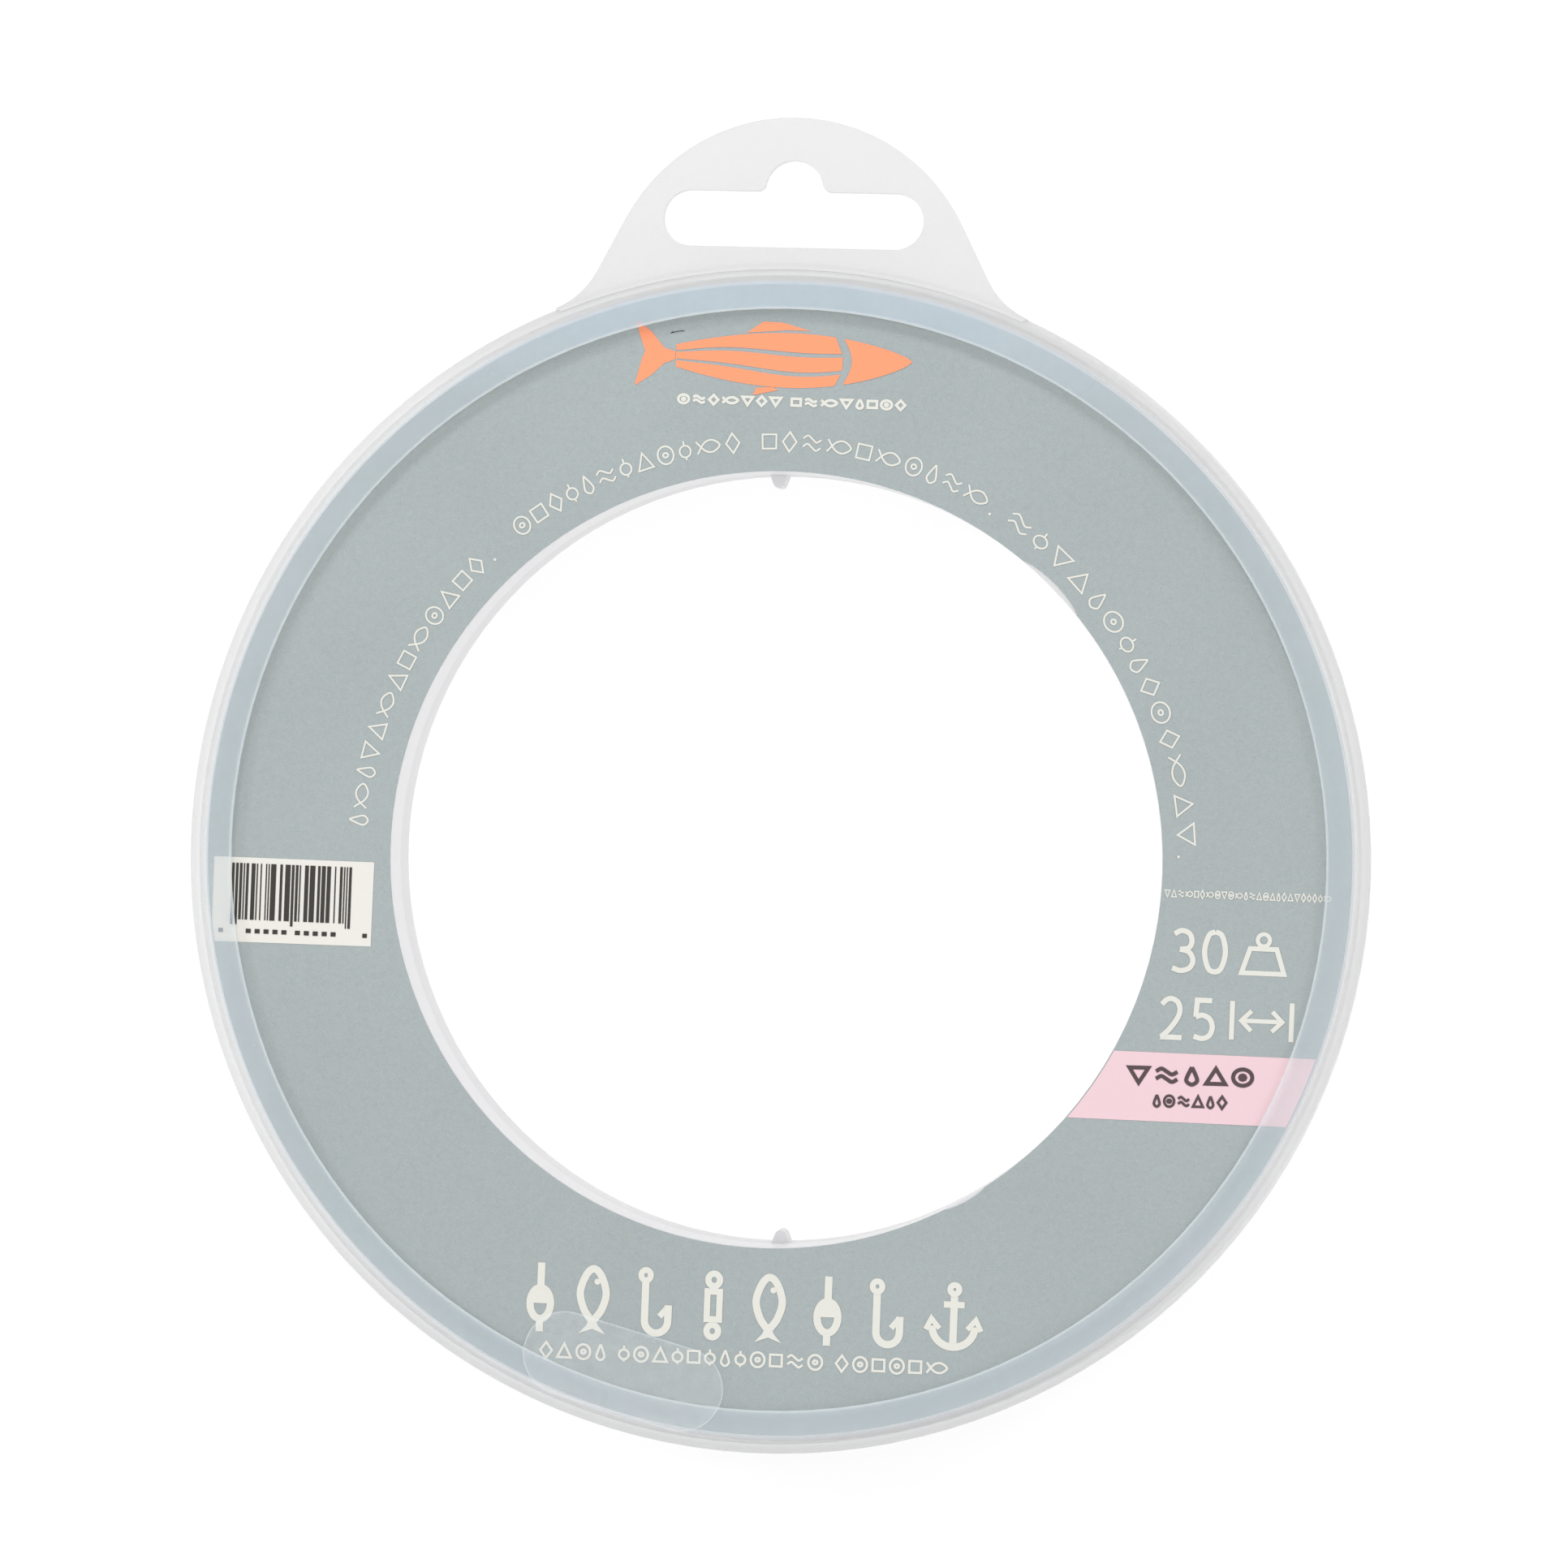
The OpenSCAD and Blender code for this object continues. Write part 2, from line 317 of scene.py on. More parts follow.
def printed_paper(name, colour, gloss=0.46, grain_share=0.05):
    """Coated paper under screened ink: fine mottle, drifts of hue, clouds, rare specks and
    a slight tooth."""
    s = Shading(name)
    fine = s.noise(7200.0, 2.0, 0.8)
    coarse = s.noise(2100.0, 3.0, 0.65)
    clouds = s.noise(55.0, 2.0, 0.5)
    light = tuple(min(1.0, c * (1 + 2.6 * grain_share)) for c in colour)
    dark = tuple(c * (1 - 2.6 * grain_share) for c in colour)
    mottle = s.math("ADD", s.spread(fine, 0.3, 0.7, 0.0, 0.62),
                    s.math("ADD", s.spread(coarse, 0.3, 0.7, 0.0, 0.26),
                           s.spread(clouds, 0.3, 0.7, 0.0, 0.12)))
    base = s.blend(mottle, dark, light)
    warm = tuple(c * f for c, f in zip(colour, (1 + 0.5 * grain_share, 1.0, 1 - 0.6 * grain_share)))
    hue = s.spread(s.noise(900.0, 2.0), 0.35, 0.65, 0.0, 0.35)
    base = s.blend(hue, base, warm)
    specks = s.spread(s.noise(1250.0, 3.0, 0.7), 0.765, 0.79, 0.0, 0.45)
    base = s.blend(specks, base, tuple(c * 0.45 for c in colour))
    normal = s.bump(s.math("ADD", fine, coarse), 0.10, 0.03 * MM)
    rough = s.spread(coarse, 0.3, 0.7, gloss - 0.06, gloss + 0.08)
    return s.finish(s.principled(base, rough, normal))


def glossy_line():
    """Clear pink-tinted monofilament, as it looks in many turns."""
    s = Shading("glossy_line")
    tint = s.noise(130.0, 2.0)
    base = s.blend(s.spread(tint, 0.3, 0.7, 0.0, 1.0), (0.90, 0.70, 0.76), (0.95, 0.80, 0.84))
    normal = s.bump(s.noise(1400.0, 2.0), 0.05, 0.02 * MM)
    body = s.principled(base, s.spread(tint, 0.3, 0.7, 0.10, 0.18), normal, Coat_Weight=0.4)
    return s.finish(s.mix_shaders(0.3, body, s.translucent((0.96, 0.84, 0.88))))


def tape_film():
    """Whitish adhesive tape that lets a little of the line show through."""
    s = Shading("tape_film")
    grain = s.noise(1800.0, 3.0)
    base = s.blend(s.spread(grain, 0.3, 0.7, 0.0, 1.0), (0.88, 0.87, 0.82), (0.95, 0.95, 0.92))
    normal = s.bump(grain, 0.15, 0.04 * MM)
    solid = s.principled(base, s.spread(grain, 0.3, 0.7, 0.28, 0.4), normal)
    return s.finish(s.mix_shaders(0.8, s.transparent(), solid))


def pale_floor():
    """A near-white backdrop that glows a little, so that shadows on it stay faint."""
    s = Shading("pale_floor")
    grain = s.noise(40.0, 2.0)
    base = s.blend(grain, (0.26, 0.26, 0.26), (0.29, 0.29, 0.29))
    solid = s.principled(base, 0.7, Emission_Color=(1.0, 1.0, 1.0), Emission_Strength=0.77,
                         Specular_IOR_Level=0.1)
    return s.finish(solid)


# ---------------------------------------------------------------- mesh helpers

def add_piece(name, points, faces, material, body, smooth=False):
    mesh = bpy.data.meshes.new(name)
    mesh.from_pydata(points, [], faces)
    mesh.validate()
    mesh.update()
    if smooth:
        mesh.shade_smooth()
    piece = bpy.data.objects.new(name, mesh)
    bpy.context.scene.collection.objects.link(piece)
    mesh.materials.append(material)
    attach(piece, body)
    return piece


def turned(x, y, angle):
    c, s = math.cos(angle), math.sin(angle)
    return x * c - y * s, x * s + y * c


def smooth_curve(points, steps=8):
    """A Catmull-Rom curve through 2-D points."""
    points = [Vector(p) for p in points]
    padded = [2 * points[0] - points[1], *points, 2 * points[-1] - points[-2]]
    out = []
    for i in range(1, len(padded) - 2):
        a, b, c, d = padded[i - 1:i + 3]
        for k in range(steps):
            t = k / steps
            out.append(0.5 * (2 * b + (c - a) * t + (2 * a - 5 * b + 4 * c - d) * t ** 2
                              + (3 * b - a - 3 * c + d) * t ** 3))
    out.append(points[-1])
    return [tuple(p) for p in out]


def oval(cx, cy, rx, ry, count=28):
    return [(cx + rx * math.cos(TAU * i / count), cy + ry * math.sin(TAU * i / count))
            for i in range(count)]


def ribbon(points, width, closed=False):
    """(points, faces) of a flat mitred stroke along 2-D points."""
    line = [Vector(p) for p in points]
    count = len(line)
    left, right = [], []
    for i, p in enumerate(line):
        before = line[i - 1] if closed or i > 0 else None
        after = line[(i + 1) % count] if closed or i < count - 1 else None
        a = (p - before).normalized() if before is not None else (after - p).normalized()
        b = (after - p).normalized() if after is not None else a
        along = (a + b).normalized() if (a + b).length > 1e-9 else a
        across = Vector((-along.y, along.x))
        reach = width / 2 / max(0.45, across.dot(Vector((-a.y, a.x))))
        left.append(p + across * reach)
        right.append(p - across * reach)
    verts = [tuple(v) for pair in zip(left, right) for v in pair]
    spans = count if closed else count - 1
    faces = [(2 * i, 2 * i + 1, (2 * i + 3) % (2 * count), (2 * i + 2) % (2 * count))
             for i in range(spans)]
    return verts, faces


class Print:
    """Flat shapes of one ink, in millimetres in the label's own upright frame. Shapes that
    cross are kept a few micrometres apart, so that no two faces share a plane."""

    def __init__(self):
        self.points, self.faces, self.shapes = [], [], 0

    def add(self, points, faces, climb=0.0):
        start, base = len(self.points), 0.005 * (self.shapes % 4)
        self.shapes += 1
        self.points += [(x, y, base + climb * i) for i, (x, y) in enumerate(points)]
        self.faces += [tuple(start + i for i in f) for f in faces]

    def polygon(self, points):
        self.add(list(points), [tuple(range(len(points)))])

    def stroke(self, points, width, closed=False):
        verts, faces = ribbon(points, width, closed)
        self.add(verts, faces, 0.004 / len(verts))

    def make(self, name, material, layer):
        height = LABEL_TOP + PRINT_LIFT * layer
        placed = []
        for x, y, lift in self.points:
            x, y = turned(x, y, LABEL_TURN)
            placed.append((x * MM, y * MM, height + lift * MM))
        faces = [f if facing_up(placed, f) else f[::-1] for f in self.faces]
        return add_piece(name, placed, faces, material, "spool")


def facing_up(points, face):
    """Whether a flat face's points run anticlockwise, seen from +Z."""
    area = 0.0
    for i, a in enumerate(face):
        b = face[(i + 1) % len(face)]
        area += points[a][0] * points[b][1] - points[b][0] * points[a][1]
    return area > 0


# ---------------------------------------------------------------- generic print marks

def plain_mark(kind, w):
    """Strokes of a small ornament in a box w wide and 1 high: [(points, closed)]."""
    mid = w / 2
    ripple = [(0, 0.0), (0.25 * w, 0.16), (0.5 * w, 0.0), (0.75 * w, -0.16), (w, 0.0)]
    shapes = {
        "gem": [([(mid, 0), (w, 0.5), (mid, 1), (0, 0.5)], True)],
        "tile": [([(0, 0.14), (w, 0.14), (w, 0.86), (0, 0.86)], True)],
        "hill": [([(0, 0.1), (w, 0.1), (mid, 0.95)], True)],
        "dart": [([(0, 0.9), (w, 0.9), (mid, 0.05)], True)],
        "target": [(oval(mid, 0.5, mid, 0.46, 22), True), (oval(mid, 0.5, 0.12, 0.12, 8), True)],
        "float": [(oval(mid, 0.45, mid, 0.3, 20), True), ([(mid, 0.75), (mid, 1)], False),
                  ([(mid, 0.15), (mid, 0)], False)],
        "ripples": [(smooth_curve([(x, y + at) for x, y in ripple], 4), False)
                    for at in (0.3, 0.72)],
        "drop": [(smooth_curve([(mid, 1), (0.16 * w, 0.46), (0.12 * w, 0.2), (mid, 0.02),
                                (0.88 * w, 0.2), (0.84 * w, 0.46), (mid, 1)], 4), False)],
        "fish": [(smooth_curve([(0, 0.82), (0.35 * w, 0.3), (0.7 * w, 0.2), (w, 0.5),
                                (0.7 * w, 0.8), (0.35 * w, 0.7), (0, 0.18)], 4), False)],
    }
    return shapes[kind]


WIDTH_OF = {"gem": 0.72, "tile": 0.72, "hill": 0.85, "dart": 0.85, "target": 0.85, "float": 0.6,
            "ripples": 0.95, "drop": 0.6, "fish": 1.25}


def ornament_row(ink, place, counts, cap, stroke, run, seed):
    """Groups of small ornaments, cap high, along a run. place(u, v) gives the point for a
    distance u along the run and a height v over its base line. counts holds the number of
    ornaments in each group."""
    picker = random.Random(seed)
    groups, last = [], None
    for count in counts:
        group = []
        for _ in range(count):
            last = picker.choice([kind for kind in WIDTH_OF if kind != last])
            group.append(last)
        groups.append(group)
    gap, space = 0.34, 0.85
    total = sum(sum(WIDTH_OF[kind] for kind in group) + gap * (len(group) - 1) for group in groups)
    total += space * (len(groups) - 1)
    unit = run / total
    u = 0.0
    for group in groups:
        for kind in group:
            w = WIDTH_OF[kind] * unit
            for points, closed in plain_mark(kind, w / cap):
                inset = [(u + x * cap, stroke / 2 + y * (cap - stroke)) for x, y in points]
                ink.stroke([place(*p) for p in inset], stroke, closed)
            u += w + gap * unit
        u += (space - gap) * unit


def straight(x, y, slope=0.0):
    """A base line from (x, y), rising by slope degrees."""
    angle = math.radians(slope)

    def place(u, v):
        du, dv = turned(u, v, angle)
        return x + du, y + dv

    return place


def arched(start_deg, base_r, centre):
    """A base line that runs clockwise round a centre, from a direction."""
    def place(u, v):
        angle, r = math.radians(start_deg) - u / base_r, base_r + v
        return centre[0] + r * math.cos(angle), centre[1] + r * math.sin(angle)

    return place


# Strokes of each numeral in a unit box: [(points, rounded)].
NUMERALS = {
    "0": [([(0.5, 1.0), (0.2, 0.9), (0.03, 0.5), (0.2, 0.1), (0.5, 0.0), (0.8, 0.1), (0.97, 0.5),
            (0.8, 0.9), (0.5, 1.0)], True)],
    "2": [([(0.06, 0.84), (0.25, 0.96), (0.5, 1.0), (0.78, 0.91), (0.88, 0.7), (0.76, 0.48),
            (0.42, 0.2), (0.06, 0.0)], True), ([(0.02, 0.0), (1.0, 0.0)], False)],
    "3": [([(0.1, 0.91), (0.42, 1.0), (0.76, 0.93), (0.88, 0.74), (0.74, 0.57),
            (0.36, 0.53)], True),
          ([(0.36, 0.53), (0.76, 0.47), (0.95, 0.27), (0.8, 0.07), (0.42, 0.0),
            (0.04, 0.06)], True)],
    "5": [([(0.9, 1.0), (0.17, 1.0), (0.12, 0.56)], False),
          ([(0.12, 0.56), (0.45, 0.61), (0.82, 0.51), (0.95, 0.29), (0.8, 0.08), (0.45, 0.0),
            (0.04, 0.05)], True)],
}


def numeral(ink, digit, x0, x1, y0, y1, stroke):
    inset = stroke / 2
    for points, rounded in NUMERALS[digit]:
        path = smooth_curve(points, 6) if rounded else points
        ink.stroke([(x0 + inset + px * (x1 - x0 - stroke), y0 + inset + py * (y1 - y0 - stroke))
                    for px, py in path], stroke)


def weight_icon(ink, x0, x1, y0, y1, stroke):
    """A small weight, for the line's breaking strength."""
    w, h = x1 - x0, y1 - y0
    body = [(0.04 * w, 0.0), (0.96 * w, 0.0), (0.78 * w, 0.62 * h), (0.22 * w, 0.62 * h)]
    i = stroke / 2
    ink.stroke([(x0 + min(max(x, i), w - i), y0 + max(y, i)) for x, y in body], stroke, closed=True)
    ink.stroke([(x0 + px, y0 + py) for px, py in oval(w / 2, 0.82 * h, 0.14 * h, 0.14 * h, 20)],
               stroke * 0.85, closed=True)


def length_icon(ink, x0, x1, y0, y1, stroke):
    """Two end ticks with an arrow between them, for the line's length."""
    mid, i, head = (y0 + y1) / 2, stroke / 2, 0.26 * (y1 - y0)
    for x in (x0 + i, x1 - i):
        ink.stroke([(x, y0), (x, y1)], stroke)
    a, b = x0 + 2.4 * stroke, x1 - 2.4 * stroke
    ink.stroke([(a, mid), (b, mid)], stroke * 0.9)
    for tip, back in ((a, a + head), (b, b - head)):
        ink.stroke([(back, mid + head), (tip, mid), (back, mid - head)], stroke * 0.9)


def emblem_fish(ink, x0, x1, y0, y1):
    """A long leaping fish: forked tail, a body cut by three current lines, and a head."""
    w, h = x1 - x0, y1 - y0

    def put(points):
        return [(x0 + px * w, y0 + py * h) for px, py in points]

    def back(t):
        return 0.50 + 0.37 * max(0.0, math.sin(math.pi * (0.12 + 0.88 * t) ** 1.15)) ** 0.72

    def belly(t):
        return 0.50 - 0.43 * max(0.0, math.sin(math.pi * (0.10 + 0.90 * t) ** 1.15)) ** 0.72

    def band(low_share, high_share, t0, t1, count=26):
        lower, upper = [], []
        for i in range(count + 1):
            for out, share in ((lower, low_share), (upper, high_share)):
                start, end = t0 + gill(share, t0), t1 + gill(share, t1)
                t = start + (end - start) * i / count
                swing = 0.055 * math.sin(7.5 * t + 0.4) if 0.0 < share < 1.0 else 0.0
                out.append((0.13 + 0.87 * t, belly(t) + (back(t) - belly(t)) * (share + swing)))
        return lower + upper[::-1]

    def gill(share, t):
        return 0.035 * math.sin(math.pi * share) if 0.6 < t < 0.9 else 0.0

    for low_share, high_share in ((0.0, 0.26), (0.34, 0.62), (0.70, 1.0)):
        ink.polygon(put(band(low_share, high_share, 0.02, 0.68)))
    shares = [i / 12 for i in range(13)]
    cheek = [(0.13 + 0.87 * (0.715 + gill(k, 0.7)), belly(0.715) + (back(0.715) - belly(0.715)) * k)
             for k in shares]
    face = [0.715 + 0.285 * i / 14 for i in range(1, 15)]
    ink.polygon(put(cheek[::-1] + [(0.13 + 0.87 * t, belly(t)) for t in face]
                    + [(0.13 + 0.87 * t, back(t)) for t in face[-2::-1]]))
    ink.polygon(put([(0.145, 0.56), (0.105, 0.60), (0.055, 0.84), (0.0, 1.0), (0.012, 0.80),
                     (0.035, 0.56), (0.022, 0.40), (0.0, 0.04), (0.06, 0.20), (0.105, 0.38),
                     (0.145, 0.44)]))
    ink.polygon(put([(0.40, 0.86), (0.46, 1.03), (0.53, 1.02), (0.63, 0.91), (0.55, 0.915)]))
    ink.polygon(put([(0.44, 0.055), (0.43, -0.05), (0.52, 0.03), (0.50, 0.075)]))


def tackle_icon(ink, kind, cx, y0, y1, stroke):
    """A fishing pictogram as tall as y0 to y1, centred on cx."""
    h = y1 - y0

    def put(points):
        return [(cx + x * h, y0 + y * h) for x, y in points]

    def draw(points, closed=False, width=stroke):
        ink.stroke(put(points), width, closed)

    def fill(points):
        ink.polygon(put(points))

    def arc(x, y, rx, ry, start, end, count):
        """Points on part of an oval. start and end are in half turns."""
        turns = [math.pi * (start + (end - start) * i / count) for i in range(count + 1)]
        return [(x + rx * math.cos(a), y + ry * math.sin(a)) for a in turns]

    if kind == "hook":
        draw([(-0.17, 0.80), (-0.17, 0.5), *arc(0.0, 0.24, 0.17, 0.18, 1, 2, 16), (0.17, 0.47)])
        draw([(0.17, 0.45), (0.045, 0.30)], width=stroke * 0.8)
        draw(oval(-0.17, 0.89, 0.07, 0.075, 20), True, stroke * 0.8)
    elif kind == "float":
        draw([(0.0, 0.66), (0.0, 1.0)])
        draw(oval(0.0, 0.41, 0.15, 0.225, 26), True)
        fill(arc(0.0, 0.41, 0.15, 0.225, 0, 1, 14))
        draw([(0.0, 0.17), (0.0, 0.0)])
    elif kind == "fish":
        draw(smooth_curve([(-0.02, 0.20), (-0.13, 0.36), (-0.19, 0.60), (-0.11, 0.85), (0.0, 0.945),
                           (0.11, 0.85), (0.19, 0.60), (0.13, 0.36), (0.02, 0.20)], 6))
        fill([(-0.035, 0.235), (-0.09, 0.12), (-0.20, 0.0), (0.0, 0.075), (0.20, 0.0),
              (0.09, 0.12), (0.035, 0.235)])
        fill(oval(0.055, 0.76, 0.045, 0.045, 16))
    elif kind == "swivel":
        draw(oval(0.0, 0.87, 0.085, 0.09, 22), True, stroke * 0.85)
        draw([(-0.09, 0.70), (0.09, 0.70), (0.09, 0.30), (-0.09, 0.30)], True, stroke * 0.85)
        draw(oval(0.0, 0.13, 0.085, 0.09, 22), True, stroke * 0.85)
    elif kind == "anchor":
        draw(oval(0.0, 0.90, 0.065, 0.065, 20), True, stroke * 0.8)
        draw([(0.0, 0.82), (0.0, 0.07)])
        draw([(-0.15, 0.68), (0.15, 0.68)], width=stroke * 0.85)
        draw(arc(0.0, 0.37, 0.31, 0.30, 1, 2, 16))
        for side in (-1, 1):
            draw([(side * 0.20, 0.33), (side * 0.32, 0.47), (side * 0.40, 0.31)],
                 width=stroke * 0.7)


# ---------------------------------------------------------------- the camera

def add_camera():
    data = bpy.data.cameras.new("photo_view")
    data.sensor_width = CAMERA_SENSOR
    data.lens = CAMERA_LENS
    data.clip_start, data.clip_end = 0.01, 20.0
    camera = bpy.data.objects.new("photo_view", data)
    bpy.context.scene.collection.objects.link(camera)
    bpy.context.scene.camera = camera
    camera.location = CAMERA_AT
    ahead = (Vector(CAMERA_AIM) - Vector(CAMERA_AT)).normalized()
    up = Vector((-math.sin(CAMERA_ROLL), math.cos(CAMERA_ROLL), 0.0))
    right = ahead.cross(up).normalized()
    up = right.cross(ahead)
    camera.rotation_mode = "QUATERNION"
    camera.rotation_quaternion = Matrix((right, up, -ahead)).transposed().to_quaternion()


# ---------------------------------------------------------------- the pieces

def label_inner_radius(degrees):
    """Hole radius of the label sheet: die-cut, with two short places cut too far out."""
    extra = 0.03 * math.sin(math.radians(3 * degrees + 40)) + 0.03
    for at, half, depth in LABEL_CUTS:
        off = (degrees - at + 180) % 360 - 180
        if abs(off) < half:
            extra += depth * (1 - (abs(off) / half) ** 2) ** 0.7
    return HOLE_R + extra * MM


def make_label(paper):
    """The printed ring sheet, with a slightly uneven inner edge."""
    count, rows = 720, 8
    points, faces = [], []
    for z in (LABEL_TOP, LABEL_LOW.z):
        for i in range(count):
            degrees = 360 * i / count
            a = math.radians(degrees)
            inner = label_inner_radius(degrees)
            for k in range(rows + 1):
                r = inner + (LABEL_R - inner) * k / rows
                points.append((r * math.cos(a), r * math.sin(a), z))
    ring, sheet = rows + 1, count * (rows + 1)
    for i in range(count):
        j = (i + 1) % count
        for k in range(rows):
            a, b = i * ring + k, j * ring + k
            faces.append((a, a + 1, b + 1, b))
            faces.append((sheet + a, sheet + b, sheet + b + 1, sheet + a + 1))
        for k, flip in ((0, False), (rows, True)):
            a, b = i * ring + k, j * ring + k
            quad = (a, b, sheet + b, sheet + a)
            faces.append(quad[::-1] if flip else quad)
    piece = add_piece("label_sheet", points, faces, paper, "spool")
    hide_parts("front_label")


def arc_points(radius, y_low, y_high, side, count=16):
    """Points on a circle about the axis between two heights, in millimetres."""
    out = []
    for i in range(count + 1):
        y = y_low + (y_high - y_low) * i / count
        out.append((side * math.sqrt(radius ** 2 - y * y), y))
    return out


def make_print():
    ivory, orange, pink, patch = Print(), Print(), Print(), Print()
    ink, warm_ink = Print(), Print()
    hole, rim = HOLE_R / MM + 0.12, LABEL_R / MM - 0.1

    # emblem: a long fish, and a row of bold ornaments under it
    emblem_fish(orange, -16.9, 12.9, 49.9, 57.2)
    ivory.polygon([(x + 8.9, y + 54.2) for x, y in oval(0, 0, 0.42, 0.42, 18)])
    ornament_row(ivory, straight(-12.1, 48.25), (7, 8), 1.3, 0.3, 24.4, seed=5)

    # the arched line of thin ornaments, in four groups: (start, end, count, seed)
    base_r, centre = 43.5, (-0.5, 0.0)
    for start, end, count, seed in ((177.6, 136.3, 13, 11), (129.9, 96.2, 12, 23),
                                    (93.0, 60.6, 10, 37), (56.8, 4.2, 14, 41)):
        run = math.radians(start - end) * base_r
        ornament_row(ivory, arched(start, base_r, centre), (count,), 2.3, 0.2, run, seed)
    for stop in (134.8, 59.4, 2.6):
        x, y = arched(stop, base_r, centre)(0.0, 0.22)
        ivory.polygon(oval(x, y, 0.16, 0.16, 10))

    # block at the right: tiny marks, strength and length
    ornament_row(ivory, straight(41.9, -2.4, 0.3), (25,), 0.98, 0.13, 17.5, seed=3)
    numeral(ivory, "3", 42.55, 45.5, -10.3, -5.5, 0.56)
    numeral(ivory, "0", 45.95, 48.85, -10.3, -5.5, 0.56)
    weight_icon(ivory, 50.0, 55.0, -10.25, -5.65, 0.52)
    numeral(ivory, "2", 41.6, 44.5, -17.4, -12.75, 0.56)
    numeral(ivory, "5", 45.1, 47.8, -17.4, -12.8, 0.56)
    length_icon(ivory, 49.2, 56.0, -17.1, -13.0, 0.52)

    # colour band with dark marks
    low, high = -26.1, -18.8
    pink.polygon(arc_points(rim, low, high, 1) + arc_points(hole, low, high, 1)[::-1])
    ornament_row(warm_ink, straight(38.85, -22.4, 0.9), (5,), 2.3, 0.42, 13.0, seed=8)
    ornament_row(warm_ink, straight(41.5, -24.7, 0.9), (6,), 1.55, 0.28, 7.7, seed=12)

    # pale patch with a bar pattern that encodes nothing
    patch.polygon([(-60.75, -2.03), *arc_points(rim, -8.9, -11.2, -1, 6), (-43.25, -11.1),
                   (-43.2, -2.02)])
    picker = random.Random(30)
    x, module = -58.75, 0.143
    while x < -45.5:
        width = picker.choice((1, 1, 1, 2, 2, 3, 4)) * module
        tall = x < -57.9 or x > -46.2 or abs(x + 52.1) < 0.35
        if x + width < -45.2:
            ink.polygon([(x, -9.3 if tall else -8.75), (x + width, -9.3 if tall else -8.75),
                         (x + width, -2.65), (x, -2.65)])
        x += width + picker.choice((1, 1, 1, 2, 3)) * module
    for x in (-60.0, -44.2):
        ink.polygon([(x, -10.2), (x + 0.5, -10.2), (x + 0.5, -9.75), (x, -9.75)])
    for start in (-57.0, -51.6):
        for i in range(5):
            x = start + i * 0.98
            ink.polygon([(x, -10.2), (x + 0.56, -10.2), (x + 0.56, -9.72), (x, -9.72)])

    # bottom: a row of tackle pictograms, with a line of small ornaments under it
    row = ((-23.3, "float"), (-17.6, "fish"), (-10.7, "hook"), (-4.6, "swivel"), (1.4, "fish"),
           (7.7, "float"), (14.2, "hook"), (21.2, "anchor"))
    for cx, kind in row:
        tackle_icon(ivory, kind, cx, -51.6, -44.2, 0.8)
    ornament_row(ivory, straight(-23.1, -54.55, 0.25), (4, 12, 6), 1.98, 0.26, 43.8, seed=19)

    # a short scratch across the emblem
    ink.stroke(smooth_curve([(-13.2, 55.9), (-12.4, 56.12), (-11.7, 56.18)], 4), 0.07)
    ink.stroke([(-13.2, 55.88), (-12.9, 56.1)], 0.06)

    pink.make("print_colour_band", printed_paper("print_pink", PINK, 0.4, 0.012), 1)
    patch.make("print_pale_patch", printed_paper("print_patch", PATCH, 0.4, 0.012), 1)
    ivory.make("print_ivory_marks", printed_paper("print_ivory", IVORY, 0.42, 0.015), 1)
    orange.make("print_fish_emblem", printed_paper("print_orange", ORANGE, 0.42, 0.02), 1)
    ink.make("print_bar_pattern", printed_paper("print_ink", INK, 0.4, 0.05), 2)
    warm_ink.make("print_dark_marks", printed_paper("print_warm_ink", WARM_INK, 0.42, 0.04), 2)


def sheet_faces(columns, rows, end_walls=False):
    """Faces of a thin sheet of two point grids, its outer side first, with walls between."""
    ring, sheet = rows + 1, (columns + 1) * (rows + 1)
    faces = []
    for i in range(columns):
        for k in range(rows):
            a = i * ring + k
            faces.append((a, a + ring, a + ring + 1, a + 1))
            faces.append((sheet + a, sheet + a + 1, sheet + a + ring + 1, sheet + a + ring))
        for k, flip in ((0, False), (rows, True)):
            a, b = i * ring + k, (i + 1) * ring + k
            quad = (a, sheet + a, sheet + b, b)
            faces.append(quad[::-1] if flip else quad)
    if end_walls:
        for i, flip in ((0, True), (columns, False)):
            for k in range(rows):
                a = i * ring + k
                quad = (a, sheet + a, sheet + a + 1, a + 1)
                faces.append(quad[::-1] if flip else quad)
    return faces


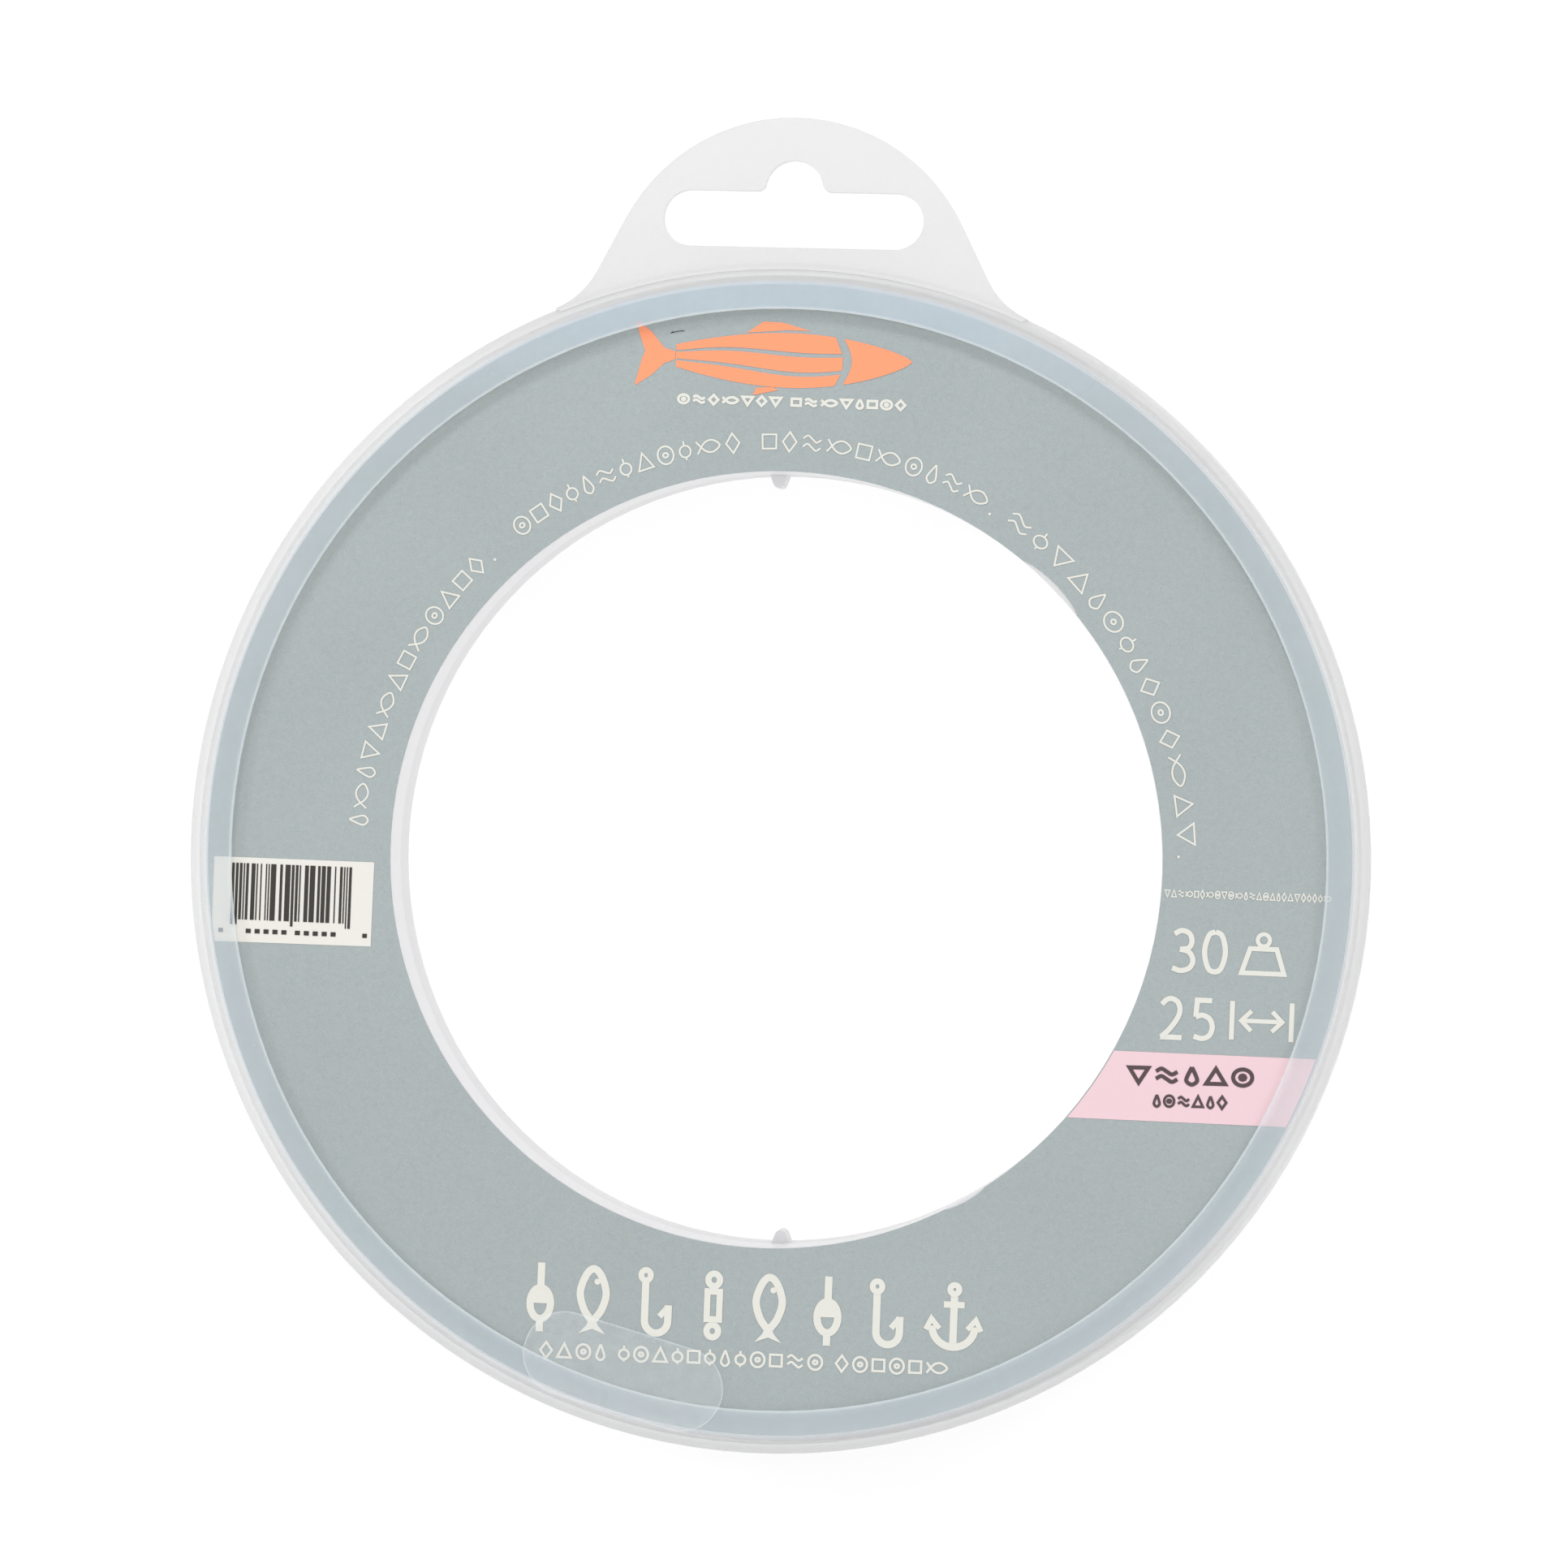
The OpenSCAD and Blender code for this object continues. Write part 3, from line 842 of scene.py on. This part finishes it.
def make_seal(film):
    """The film seal: stuck down on the front lip, and let down over the lip's edge to
    just above the label. Its cut edge is marked for the material's painted highlight."""
    middle = (SEAL_LOW + SEAL_HIGH) / 2
    out = Vector((middle.x, middle.y)).normalized()
    along = Vector((-out.y, out.x))
    low, high = SEAL_LOW.z + 0.01 * MM, SEAL_HIGH.z - FILM + 0.005 * MM
    columns, rows = 96, 72
    half_w = SEAL_WIDTH / 2
    straight_part = SEAL_LENGTH / 2 - half_w
    points, edge_highlight = [], []
    for side in (1, 0):
        for i in range(columns + 1):
            u = -math.cos(math.pi * i / columns) * SEAL_LENGTH / 2
            past = max(0.0, abs(u) - straight_part)
            reach = math.sqrt(max(0.0, half_w ** 2 - past ** 2))
            for k in range(rows + 1):
                v = reach * (2 * k / rows - 1)
                at = Vector((middle.x, middle.y)) + along * u + out * v
                r = at.length
                t = min(1.0, max(0.0, (r - (LIP_R - 0.55 * MM)) / (0.52 * MM)))
                lift = 0.02 * MM * math.sin(u * 900 + 1.3) * math.sin(v * 700)
                z = low + (high - low) * t * t * (3 - 2 * t) + FILM * side * 0.95
                z += max(0.0, lift) * (1 - t) * side
                points.append((at.x, at.y, z))
                # painted highlight mask: 1 at the cut edge, fading out over 0.22 mm
                edge = half_w - math.hypot(past, v)
                edge_highlight.append(max(0.0, 1 - edge / (0.22 * MM)))
    piece = add_piece("seal_film_piece", points, sheet_faces(columns, rows), film, "cover",
                      smooth=True)
    rim = piece.data.attributes.new("rim", "FLOAT", "POINT")
    rim.data.foreach_set("value", edge_highlight)
    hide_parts("wafer_seal")


def make_winding(material):
    """The line itself: one continuous run, wound in full layers and part of a last one."""
    sides, steps = 6, 60
    turns = FULL_LAYERS * TURNS_PER_LAYER + LAST_LAYER_TURNS
    half = min(WINDING_HIGH.z, -WINDING_LOW.z) - LINE_D / 2
    points, faces = [], []
    total = turns * steps
    for i in range(total + 1):
        turn = i / steps
        layer, part = divmod(turn, TURNS_PER_LAYER)
        if i == total and part == 0:
            layer, part = layer - 1, TURNS_PER_LAYER
        share = part / TURNS_PER_LAYER
        level = layer - 1 + min(1.0, part * 2) if layer > 0 else 0  # climbs in half a turn
        r = CORE_R + LINE_D / 2 + 0.01 * MM + LAYER_STEP * level
        z = half * (2 * share - 1) * (1 if int(layer) % 2 == 0 else -1)
        a = LINE_END + TAU * (turn - turns)
        radial = Vector((math.cos(a), math.sin(a), 0.0))
        centre = radial * r + Vector((0.0, 0.0, z))
        for k in range(sides):
            b = TAU * k / sides
            points.append(centre + radial * (LINE_D / 2 * math.cos(b))
                          + Vector((0.0, 0.0, LINE_D / 2 * math.sin(b))))
    for i in range(total):
        for k in range(sides):
            a, b = i * sides + k, i * sides + (k + 1) % sides
            faces.append((a, b, b + sides, a + sides))
    faces.append(tuple(range(sides))[::-1])
    faces.append(tuple(total * sides + k for k in range(sides)))
    piece = add_piece("line_turns", points, faces, material, "spool", smooth=True)
    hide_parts("line_winding")


def make_end_tape(material):
    """The short tape over the line's loose end, with soft ripples from the turns under it."""
    sweep = END_TAPE_LENGTH / WINDING_R
    half = (TAPE_HIGH.z - TAPE_LOW.z) / 2
    columns, rows = 60, 40
    points = []
    for side in (1, 0):
        for i in range(columns + 1):
            a = END_TAPE_START + sweep * i / columns
            for k in range(rows + 1):
                z = half * (2 * k / rows - 1)
                ripple = 0.024 * MM * math.cos(TAU * z / (0.527 * MM))
                r = WINDING_R + 0.04 * MM + ripple + FILM * 0.5 * side
                points.append((r * math.cos(a), r * math.sin(a), z))
    piece = add_piece("end_tape", points, sheet_faces(columns, rows, end_walls=True), material,
                      "spool", smooth=True)
    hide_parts("line_end_tape")


def finish_cad_node(name, material):
    """A procedural material on a CAD node whose shape stays as it is."""
    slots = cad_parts[name].data.materials
    slots.clear()
    slots.append(material)


# ---------------------------------------------------------------- light and floor

def add_disc_light(name, direction, size, watts):
    """A round area light at a direction from the origin, turned to it."""
    data = bpy.data.lights.new(name, "AREA")
    data.shape = "DISK"
    data.size = size
    data.energy = watts
    light = bpy.data.objects.new(name, data)
    bpy.context.scene.collection.objects.link(light)
    light.location = Vector(direction) * LIGHT_DISTANCE
    light.rotation_mode = "QUATERNION"
    light.rotation_quaternion = (-Vector(direction)).to_track_quat("-Z", "Y")
    return light


def link_light(light, nodes, state):
    """Lets a light reach only some CAD nodes (INCLUDE), or all but those (EXCLUDE)."""
    group = bpy.data.collections.new(light.name + "_nodes")
    for node in nodes:
        group.objects.link(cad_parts[node])
    for member in group.collection_objects:
        member.light_linking.link_state = state
    light.light_linking.receiver_collection = group


def add_studio():
    world = bpy.data.worlds.new("studio")
    bpy.context.scene.world = world
    world.use_nodes = True
    sky = world.node_tree.nodes["Background"]
    sky.inputs["Color"].default_value = (1.0, 1.0, 1.0, 1.0)
    sky.inputs["Strength"].default_value = SKY_STRENGTH
    level, rise = math.cos(KEY_ELEVATION), math.sin(KEY_ELEVATION)
    for name, azimuth, watts in KEYS:
        a = math.radians(azimuth)
        direction = (math.cos(a) * level, math.sin(a) * level, rise)
        light = add_disc_light(name, direction, KEY_SIZE, watts)
        link_light(light, ("spool_front_half", "spool_rear_half", "cover_ring"), "EXCLUDE")
    fill = add_disc_light("cover_fill", (0, 0, 1), FILL_SIZE, FILL_WATTS)
    link_light(fill, ("cover_ring",), "INCLUDE")
    mesh = bpy.data.meshes.new("studio_floor")
    corners = [(x * FLOOR_REACH, y * FLOOR_REACH, BACK_Z - FLOOR_GAP)
               for x, y in ((-1, -1), (1, -1), (1, 1), (-1, 1))]
    mesh.from_pydata(corners, [], [(0, 1, 2, 3)])
    mesh.materials.append(pale_floor())
    floor = bpy.data.objects.new("studio_floor", mesh)
    bpy.context.scene.collection.objects.link(floor)
    bpy.context.scene.view_settings.view_transform = "Standard"


# ---------------------------------------------------------------- build

add_camera()
finish_cad_node("cover_ring", frosted_cover())
# the rear half's plastic is a darker copy of the front half's: painted shade on the rear part of
# the hub wall
finish_cad_node("spool_front_half",
                moulded_plastic("spool_front", (0.955, 0.955, 0.97), (0.975, 0.975, 0.985)))
finish_cad_node("spool_rear_half",
                moulded_plastic("spool_rear", (0.87, 0.86, 0.875), (0.90, 0.89, 0.90)))
make_label(printed_paper("label_grey", LABEL_GREY, grain_share=0.075))
make_print()
make_seal(clear_film())
make_winding(glossy_line())
make_end_tape(tape_film())
add_studio()
